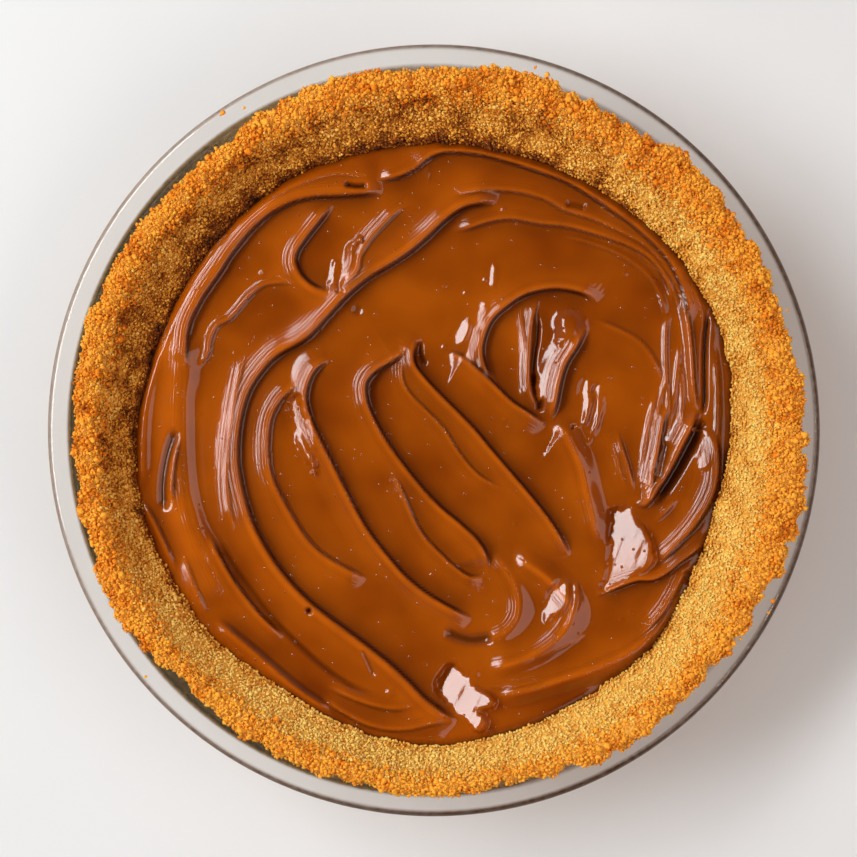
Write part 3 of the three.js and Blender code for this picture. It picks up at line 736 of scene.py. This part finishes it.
def fillingMaterial():
    # dulce de leche: milk caramel, thick and glossy. Its thin crests and lit banks are painted more orange,
    # as painted light coming through them, and its folds, furrows, pits and edge are painted near
    # black-brown, as painted shade. A few bubbles lie under its skin.
    material, tree, place = newMaterial("dulceDeLeche")
    cloud = addNode(tree, "ShaderNodeTexNoise", {"Scale": perMetre(26.3), "Detail": 2.0}, {"Vector": place})
    body = addNode(tree, "ShaderNodeValToRGB", {"stops": filling["body"]}, {0: cloud.outputs["Fac"]})
    thin, deep, combed, lane = (addNode(tree, "ShaderNodeAttribute", {"attribute_name": name}).outputs["Fac"]
                                for name in ("thin", "deep", "combed", "lane"))
    fine = addNode(tree, "ShaderNodeTexNoise", {"Scale": perMetre(1.43), "Detail": 2.0}, {"Vector": place})
    bubbles = addNode(tree, "ShaderNodeTexVoronoi", {"Scale": perMetre(4.17)}, {"Vector": place})
    dome = addNode(tree, "ShaderNodeMapRange", {"From Min": 0.13, "From Max": 0.03,
                                                "interpolation_type": "SMOOTHSTEP"},
                   {0: bubbles.outputs["Distance"]})
    height = addNode(tree, "ShaderNodeMath", {"operation": "MULTIPLY_ADD", 1: 0.06},
                     {0: fine.outputs["Fac"], 2: dome.outputs[0]})
    bump = addNode(tree, "ShaderNodeBump", {"Strength": 0.6, "Distance": 0.0004},
                   {"Height": height.outputs[0]})
    # fine lines along the strokes, 0.77 mm apart, broken up by slower noise
    lines = addNode(tree, "ShaderNodeTexNoise", {"noise_dimensions": "1D", "Scale": 1 / 0.77, "Detail": 2.0},
                    {"W": lane})
    broken = addNode(tree, "ShaderNodeTexNoise", {"Scale": perMetre(7.7), "Detail": 1.0}, {"Vector": place})
    patch = addNode(tree, "ShaderNodeMath", {"operation": "MULTIPLY"}, {0: combed, 1: broken.outputs["Fac"]})
    stroke = addNode(tree, "ShaderNodeMath", {"operation": "MULTIPLY"},
                     {0: lines.outputs["Fac"], 1: patch.outputs[0]})
    faint = addNode(tree, "ShaderNodeMath", {"operation": "MULTIPLY", 1: 1.3, "use_clamp": True},
                    {0: stroke.outputs[0]})
    colour = body.outputs[0]
    for share, kind in ((thin, "crestLightColour"), (faint.outputs[0], "stroke"), (deep, "paintedShadeColour")):
        mixed = addNode(tree, "ShaderNodeMix", {"data_type": "RGBA", 7: filling[kind]}, {0: share, 6: colour})
        colour = mixed.outputs[2]
    combing = addNode(tree, "ShaderNodeBump", {"Strength": 1.0, "Distance": 0.0006},
                      {"Height": stroke.outputs[0], "Normal": bump.outputs[0]})
    dull = addNode(tree, "ShaderNodeMath", {"operation": "MULTIPLY_ADD", 1: 0.1, 2: 0.09}, {0: deep})
    shader = addNode(tree, "ShaderNodeBsdfPrincipled", {
        "IOR": 1.47, "Subsurface Weight": 0.2, "Subsurface Scale": 0.0015,
        "Subsurface Radius": (1.0, 0.28, 0.05),
    }, {"Base Color": colour, "Normal": combing.outputs[0], "Roughness": dull.outputs[0]})
    addNode(tree, "ShaderNodeOutputMaterial", None, {"Surface": shader.outputs[0]})
    return material


def crustInside(edge, level):
    # the crust's inside below the filling's edge, as a radius for a height
    rise = filling["level"] - level
    return edge - dish["wallRun"] * rise


def makeFilling():
    steps = filling["steps"]
    ux, uy = squareToRound(steps)
    angle = np.arctan2(uy, ux)
    out = fillingEdge(angle) - dish["wallRun"] * filling["edgeDrop"] + 0.3
    x, y = ux * out, uy * out
    height, values = fillingTop(x, y)
    top = np.stack([x, y, height], axis=1)
    index = np.arange((steps + 1) ** 2).reshape(steps + 1, steps + 1)
    border = np.concatenate([index[0, :-1], index[:-1, -1], index[-1, :0:-1], index[:0:-1, 0]])
    corners = (index[:-1, :-1], index[:-1, 1:], index[1:, 1:], index[1:, :-1])
    a, b, c, d = (corner.ravel() for corner in corners)
    rising = (ux * uy)[a][:, None] > 0  # each cell is cut along its radius
    faces = [np.where(rising, np.stack([a, b, c], axis=1), np.stack([a, b, d], axis=1)),
             np.where(rising, np.stack([a, c, d], axis=1), np.stack([b, c, d], axis=1))]
    points = [top]
    count = len(top)
    upper = border
    rim = np.arctan2(top[border, 1], top[border, 0])
    for level in (20.0, 14.0, filling["floor"]):
        inset = 3.0 if level == filling["floor"] else 0.0
        r = crustInside(fillingEdge(rim), level) - inset
        points.append(np.stack([r * np.cos(rim), r * np.sin(rim), np.full(len(rim), level)], axis=1))
        lower = np.arange(count, count + len(rim))
        count += len(rim)
        nextUpper, nextLower = np.roll(upper, -1), np.roll(lower, -1)
        faces += [np.stack([lower, nextLower, upper], axis=1),
                  np.stack([nextLower, nextUpper, upper], axis=1)]
        upper = lower
    points.append(np.array([[0, 0, filling["floor"]]]))
    faces.append(np.stack([np.full(len(upper), count), np.roll(upper, -1), upper], axis=1))
    points = np.vstack(points)
    rest = np.zeros(len(points) - len(top))
    values = {key: np.concatenate([value, rest]) for key, value in values.items()}
    piece = smooth(makePiece("caramel_filling", points, np.vstack(faces), fillingMaterial(), values))
    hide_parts("filling")
    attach(piece, "root")


makeFilling()
print("filling done")


crust = {
    "floor": 11.3,
    "lip": 40.2,
    "intoGlass": 0.12,  # how far it reaches into the glass, so that no air shows between them
    # radii every 15 degrees from +X towards +Y: the lip's inside edge, and its crumbly outside
    "lipInner": [108.5, 108.2, 108, 108, 108, 108, 108, 107.5, 106.5, 106.5, 107, 107.2,
                 107.5, 107.8, 108, 108, 108, 109.5, 110.5, 110.5, 110.5, 110, 109.5, 109],
    "lipOuter": [118, 115.5, 116.5, 117.5, 114, 117.5, 114, 116, 113, 112, 113, 115,
                 113.5, 114, 116, 112, 113.5, 114, 116, 114, 117.5, 116, 117, 118.5],
    "turns": 1140,
    "darkSide": 132,  # the azimuth of the wall under the window, painted darker for its own shade
    # the azimuth of the wall that faces the window, painted paler as painted light
    "litSide": 280,
    # each finish as its dark, middle and light brown, its grain in mm, and how much grains and patches differ
    # the crust under the crumbs is darker than them, as painted shade in the gaps between grains
    "body": ("#84420A", "#C67A1E", "#EDAE48", 0.6, 0.5, 0.8),
    "lipCrumb": ("#9A4206", "#EC800C", "#FFB038", 0.8, 0.24, 1.4),
    "wallCrumb": ("#98480A", "#F2A232", "#FFD672", 0.75, 0.3, 1.0),
}


def crustGrid():
    # rows of points round the pie: under the floor, up the glass, over the lip and down the inside wall. Each
    # key row gives a radius, a height, how crumbly it is, and how many even steps lead to the next one.
    angle = np.linspace(0, 2 * np.pi, crust["turns"], endpoint=False)
    spot = np.stack([np.cos(angle), np.sin(angle)], axis=-1) * 110
    clumps = 1.0 * softNoise(spot, 7.0, 31) + 1.3 * softNoise(spot, 3.0, 32)
    outer = around(crust["lipOuter"], angle) - 0.4 + clumps
    inner = around(crust["lipInner"], angle) + 0.6 * softNoise(spot, 9.0, 33) + 0.3 * softNoise(spot, 3.5, 34)
    top = crust["lip"] + 0.7 * softNoise(spot, 8.0, 35) + 0.5 * softNoise(spot, 3.0, 36)
    edge = fillingEdge(angle)
    level = filling["level"]
    bend = np.minimum(dish["rimInner"] - 0.3, outer - 0.8)
    one = np.ones_like(angle)

    def onGlass(r):
        return glassInside(r) - crust["intoGlass"]

    def wall(share):
        return edge + (inner - edge) * share, level + (top - 1.2 - level) * share ** 1.04

    under = [(r * one, onGlass(r) * one, 0, steps)
             for r, steps in ((40, 1), (dish["floorFlat"], 3), (90, 2), (94, 4), (103, 4), (112, 3))]
    lip = [
        (bend, onGlass(bend), 0, 3),
        (outer - 0.3, np.maximum(onGlass(outer) + 0.5, onGlass(bend) + 0.3), 0.5, 3),
        (outer, top - 1.6, 1, 4), (outer - 1.3, top - 0.3, 1, 6),
        ((outer + inner) / 2, top + 0.3, 1, 6), (inner + 0.9, top - 0.3, 0.9, 4),
    ]
    inside = [
        (*wall(0.93), 0.7, 12), (*wall(0.55), 0.4, 12), (*wall(0.2), 0.35, 8), (*wall(0.0), 0.35, 3),
        (crustInside(edge, level - 4), (level - 4) * one, 0.2, 2), (crustInside(edge, 16), 16 * one, 0, 2),
        (crustInside(edge, 12.5) - 3.5, 12.2 * one, 0, 2),
        (crustInside(edge, 11.3) - 9, crust["floor"] * one, 0, 1), (30 * one, crust["floor"] * one, 0, 0),
    ]
    keys = under + lip + inside
    rows = []
    for here, there in zip(keys, keys[1:]):
        for step in range(here[3]):
            share = step / here[3]
            rows.append([a + share * (b - a) for a, b in zip(here[:3], there[:3])])
    rows.append(keys[-1][:3])
    radius, height, amount = (np.array([row[k] * one for row in rows]) for k in range(3))
    points = np.stack([radius * np.cos(angle), radius * np.sin(angle), height], axis=-1)
    return points, amount


def gridNormals(points):
    # outward directions of a closed round grid, from the cross product of its two directions
    along = np.roll(points, -1, axis=1) - np.roll(points, 1, axis=1)
    down = np.gradient(points, axis=0)
    normal = np.cross(along, down)
    return normal / np.maximum(np.linalg.norm(normal, axis=-1, keepdims=True), 1e-9)


def crumbMaterial(name, dark, middle, light, grain, speckle, mottle):
    # baked biscuit crumbs: matt, dry and porous. Each grain is its own golden brown, by the speckle, over
    # slower patches, by the mottle. A value on each point adds random tone, and painted shade on the inside
    # wall over the filling and painted light on the side that faces the window.
    material, tree, place = newMaterial(name)
    grains = addNode(tree, "ShaderNodeTexVoronoi", {"Scale": perMetre(grain)}, {"Vector": place})
    own = addNode(tree, "ShaderNodeSeparateColor", None, {0: grains.outputs["Color"]}).outputs[0]
    tone = addNode(tree, "ShaderNodeAttribute", {"attribute_name": "tone"}).outputs["Fac"]
    patch = addNode(tree, "ShaderNodeTexNoise", {"Scale": perMetre(6.25), "Detail": 3.0}, {"Vector": place})
    middling = 0.75 - 0.5 * (mottle + speckle)  # so that neither one makes the whole lighter
    wide = addNode(tree, "ShaderNodeMath", {"operation": "MULTIPLY_ADD", 1: mottle, 2: middling},
                   {0: patch.outputs["Fac"]})
    both = addNode(tree, "ShaderNodeMath", {"operation": "MULTIPLY_ADD", 1: speckle},
                   {0: own, 2: wide.outputs[0]})
    share = addNode(tree, "ShaderNodeMath", {"operation": "MULTIPLY_ADD", 1: 0.3},
                    {0: tone, 2: both.outputs[0]})
    stops = [(0.05, "#200D02"), (0.44, dark), (0.66, middle), (1.0, light)]
    colour = addNode(tree, "ShaderNodeValToRGB", {"stops": stops}, {0: share.outputs[0]})
    rough = addNode(tree, "ShaderNodeTexNoise", {"Scale": perMetre(0.385), "Detail": 2.0}, {"Vector": place})
    bump = addNode(tree, "ShaderNodeBump", {"Strength": 0.7, "Distance": 0.0002},
                   {"Height": rough.outputs["Fac"]})
    shader = addNode(tree, "ShaderNodeBsdfPrincipled", {
        "Roughness": 0.85, "Specular IOR Level": 0.25, "Subsurface Weight": 0.15, "Subsurface Scale": 0.0008,
        "Subsurface Radius": (1.0, 0.5, 0.2),
    }, {"Base Color": colour.outputs[0], "Normal": bump.outputs[0]})
    addNode(tree, "ShaderNodeOutputMaterial", None, {"Surface": shader.outputs[0]})
    return material


def contactShade(points):
    # the painted shade on the inside wall over the filling, most of all under the window, and the painted
    # light, paler, on the side that faces it
    x, y, z = points.T
    angle = np.arctan2(y, x)
    over = np.clip(z - filling["level"], 0, None)
    out = np.hypot(x, y) - around(filling["edge"], angle)
    inside = (out < 4 + 1.05 * over) & (z > filling["level"] - 2)
    under = np.clip(np.cos(angle - math.radians(crust["darkSide"])) + 0.25, 0, 1)
    wide = 0.35 * np.exp(-over / 2.5) + 0.9 * np.clip((13 - over) / 4, 0, 1)
    shade = 0.7 * np.exp(-over / 0.8) + under * wide
    pale = 0.4 * np.clip(np.cos(angle - math.radians(crust["litSide"])), 0, 1)
    return (shade - pale) * inside


def makeCrust(material):
    points, amount = crustGrid()
    normals = gridNormals(points)
    flat = points.reshape(-1, 3)
    rough = amount.reshape(-1)
    seen = rough > 0.02
    relief = np.zeros(len(flat))
    relief[seen] = (0.55 * grainNoise(flat[seen], 1.5, 41) + 0.35 * grainNoise(flat[seen], 0.8, 44) - 0.35
                    + 0.35 * softNoise(flat[seen], 3.2, 47) * rough[seen])
    relief *= np.clip(rough * 1.6, 0, 1)
    shaped = flat + normals.reshape(-1, 3) * relief[:, None]
    rows, turns = amount.shape
    underside = [0, 0, glassInside(0) - crust["intoGlass"]]
    whole, faces = closeGrid(shaped, turns, underside, [0, 0, crust["floor"]])
    # random tone, less the painted shade and plus the painted light of the inside wall
    tone = np.concatenate([0.5 + 0.3 * softNoise(shaped, 4.0, 48) - contactShade(shaped), [0.5, 0.5]])
    piece = smooth(makePiece("crumb_crust", whole, faces, material, {"tone": tone}))
    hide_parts("crust")
    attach(piece, "root")
    return shaped.reshape(rows, turns, 3), normals, amount


crumbs = {
    "jag": 0.28,  # how far a corner moves in or out
    # each kind's count, smallest and largest size, and the share of its size that lies under the surface
    "fineWall": {"count": 24500, "size": (0.7, 1.25), "sink": 0.2},
    "fineLip": {"count": 24500, "size": (0.5, 1.1), "sink": 0.08},
    "coarseLip": {"count": 9600, "size": (0.75, 1.55), "sink": 0.08},
    "coarseWall": {"count": 4200, "size": (0.8, 1.5), "sink": 0.28},
    "clumps": {"count": 520, "size": (1.2, 2.3), "sink": 0.15},
    # crumbs that fell on the glass rim, as x, y and size
    "fallen": [(-67, 100.5, 1.8), (32, 114.8, 1.5), (35.8, 112.5, 1.8), (-91.2, -78, 1.0), (107.3, -54, 1.6),
               (106.5, -58, 1.1), (94.7, -67.3, 2.2), (97, -66, 1.2), (-60, 102, 1.0), (112, 38, 1.0)],
}


def octahedron():
    points = np.array([[1, 0, 0], [-1, 0, 0], [0, 1, 0], [0, -1, 0], [0, 0, 1], [0, 0, -1]], dtype=float)
    faces = np.array([[4, 0, 2], [4, 2, 1], [4, 1, 3], [4, 3, 0], [5, 2, 0], [5, 1, 2], [5, 3, 1], [5, 0, 3]])
    return points, faces


def icosahedron():
    g = (1 + 5 ** 0.5) / 2
    points = np.array([[-1, g, 0], [1, g, 0], [-1, -g, 0], [1, -g, 0], [0, -1, g], [0, 1, g], [0, -1, -g],
                       [0, 1, -g], [g, 0, -1], [g, 0, 1], [-g, 0, -1], [-g, 0, 1]]) / math.hypot(1, g)
    faces = np.array([[0, 11, 5], [0, 5, 1], [0, 1, 7], [0, 7, 10], [0, 10, 11], [1, 5, 9], [5, 11, 4],
                      [11, 10, 2], [10, 7, 6], [7, 1, 8], [3, 9, 4], [3, 4, 2], [3, 2, 6], [3, 6, 8],
                      [3, 8, 9], [4, 9, 5], [2, 4, 11], [6, 2, 10], [8, 6, 7], [9, 8, 1]])
    return points, faces


def splitOnce(shape):
    # each triangle into four, with the new corners pushed out to the unit ball
    points, faces = shape
    edges = np.sort(np.concatenate([faces[:, [0, 1]], faces[:, [1, 2]], faces[:, [2, 0]]]), axis=1)
    unique, which = np.unique(edges, axis=0, return_inverse=True)
    middle = points[unique].mean(axis=1)
    middle /= np.linalg.norm(middle, axis=1, keepdims=True)
    ab, bc, ca = (which.reshape(3, -1) + len(points))
    a, b, c = faces.T
    split = [(a, ab, ca), (ab, b, bc), (ca, bc, c), (ab, bc, ca)]
    return np.vstack([points, middle]), np.vstack([np.stack(f, axis=1) for f in split])


def randomTurns(random, count):
    # evenly spread random rotations, as matrices, from random unit quaternions
    q = random.normal(size=(count, 4))
    w, x, y, z = (q / np.linalg.norm(q, axis=1, keepdims=True)).T
    rows = [[1 - 2 * (y * y + z * z), 2 * (x * y - z * w), 2 * (x * z + y * w)],
            [2 * (x * y + z * w), 1 - 2 * (x * x + z * z), 2 * (y * z - x * w)],
            [2 * (x * z - y * w), 2 * (y * z + x * w), 1 - 2 * (x * x + y * y)]]
    return np.array(rows).transpose(2, 0, 1)


def crumbPiece(name, shape, centres, sizes, material, seed):
    # one crumb at each centre: the shape with each corner moved at random, stretched, turned and set in place
    random = np.random.default_rng(seed)
    base, faces = shape
    count = len(centres)
    corners = base[None] * (1 + crumbs["jag"] * random.uniform(-1, 1, (count, len(base), 1)))
    corners = corners * random.uniform(0.65, 1.15, (count, 1, 3))
    corners = np.einsum("nij,nkj->nki", randomTurns(random, count), corners)
    points = (centres[:, None] + corners * (sizes / 2)[:, None, None]).reshape(-1, 3)
    every = (faces[None] + (np.arange(count) * len(base))[:, None, None]).reshape(-1, 3)
    # random tone for each crumb, less the painted shade and plus the painted light of the inside wall
    tone = np.repeat(np.clip(random.normal(0.55, 0.27, count), 0, 1) - contactShade(centres), len(base))
    piece = makePiece(name, points, every, material, {"tone": tone})
    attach(piece, "root")
    return piece


def scatter(points, normals, weight, seed, count, size, sink):
    # random places on a grid surface, more where the weight is larger, and the sizes of what lies there, with
    # more small ones than large; sink says how much of its size a crumb is pressed in
    random = np.random.default_rng(seed)
    chance = weight.ravel() / weight.sum()
    chosen = random.choice(len(chance), count, p=chance)
    sizes = size[0] + (size[1] - size[0]) * random.random(count) ** 1.8
    spread = random.uniform(-0.35, 0.35, (count, 3))
    out = normals.reshape(-1, 3)[chosen] * (sizes * (0.5 - sink))[:, None]
    return points.reshape(-1, 3)[chosen] + spread + out, sizes


def makeCrumbs(points, normals, amount, lip, wall):
    # each point's share of the surface, and which points are on the lip and on the wall
    along = np.linalg.norm(np.roll(points, -1, axis=1) - points, axis=-1)
    down = np.linalg.norm(np.gradient(points, axis=0), axis=-1)
    share = along * down
    height = points[..., 2]
    seen = (amount > 0.1) & (height > filling["level"] - 1.5)
    onLip = share * np.where(seen, np.clip((amount - 0.45) / 0.4, 0, 1), 0)
    onWall = share * np.where(seen, np.clip((0.95 - amount) / 0.4, 0, 1), 0)
    zones = {"fineWall": onWall, "fineLip": onLip, "coarseLip": onLip, "coarseWall": onWall, "clumps": onLip}
    shapes = {"fineWall": octahedron(), "fineLip": octahedron(), "coarseLip": icosahedron(),
              "coarseWall": icosahedron(), "clumps": splitOnce(icosahedron())}
    for seed, (kind, weight) in enumerate(zones.items(), start=60):
        centres, sizes = scatter(points, normals, weight, seed, **crumbs[kind])
        material = wall if kind.endswith("Wall") else lip
        crumbPiece("crumbs_" + kind, shapes[kind], centres, sizes, material, seed + 20)
    fallen = np.array(crumbs["fallen"])
    r = np.minimum(np.hypot(fallen[:, 0], fallen[:, 1]), dish["rimOuter"] - 1.9)
    a = np.arctan2(fallen[:, 1], fallen[:, 0])
    centres = np.stack([r * np.cos(a), r * np.sin(a), dish["height"] + fallen[:, 2] * 0.38], axis=1)
    crumbPiece("crumbs_fallen", splitOnce(icosahedron()), centres, fallen[:, 2], lip, 90)


crustBody = crumbMaterial("crustUnderCrumbs", *crust["body"])
lipCrumb = crumbMaterial("toastedBiscuitCrumb", *crust["lipCrumb"])
wallCrumb = crumbMaterial("pressedBiscuitCrumb", *crust["wallCrumb"])
crustPoints, crustNormals, crustAmount = makeCrust(crustBody)
print("crust done")
makeCrumbs(crustPoints, crustNormals, crustAmount, lipCrumb, wallCrumb)
print("crumbs done")
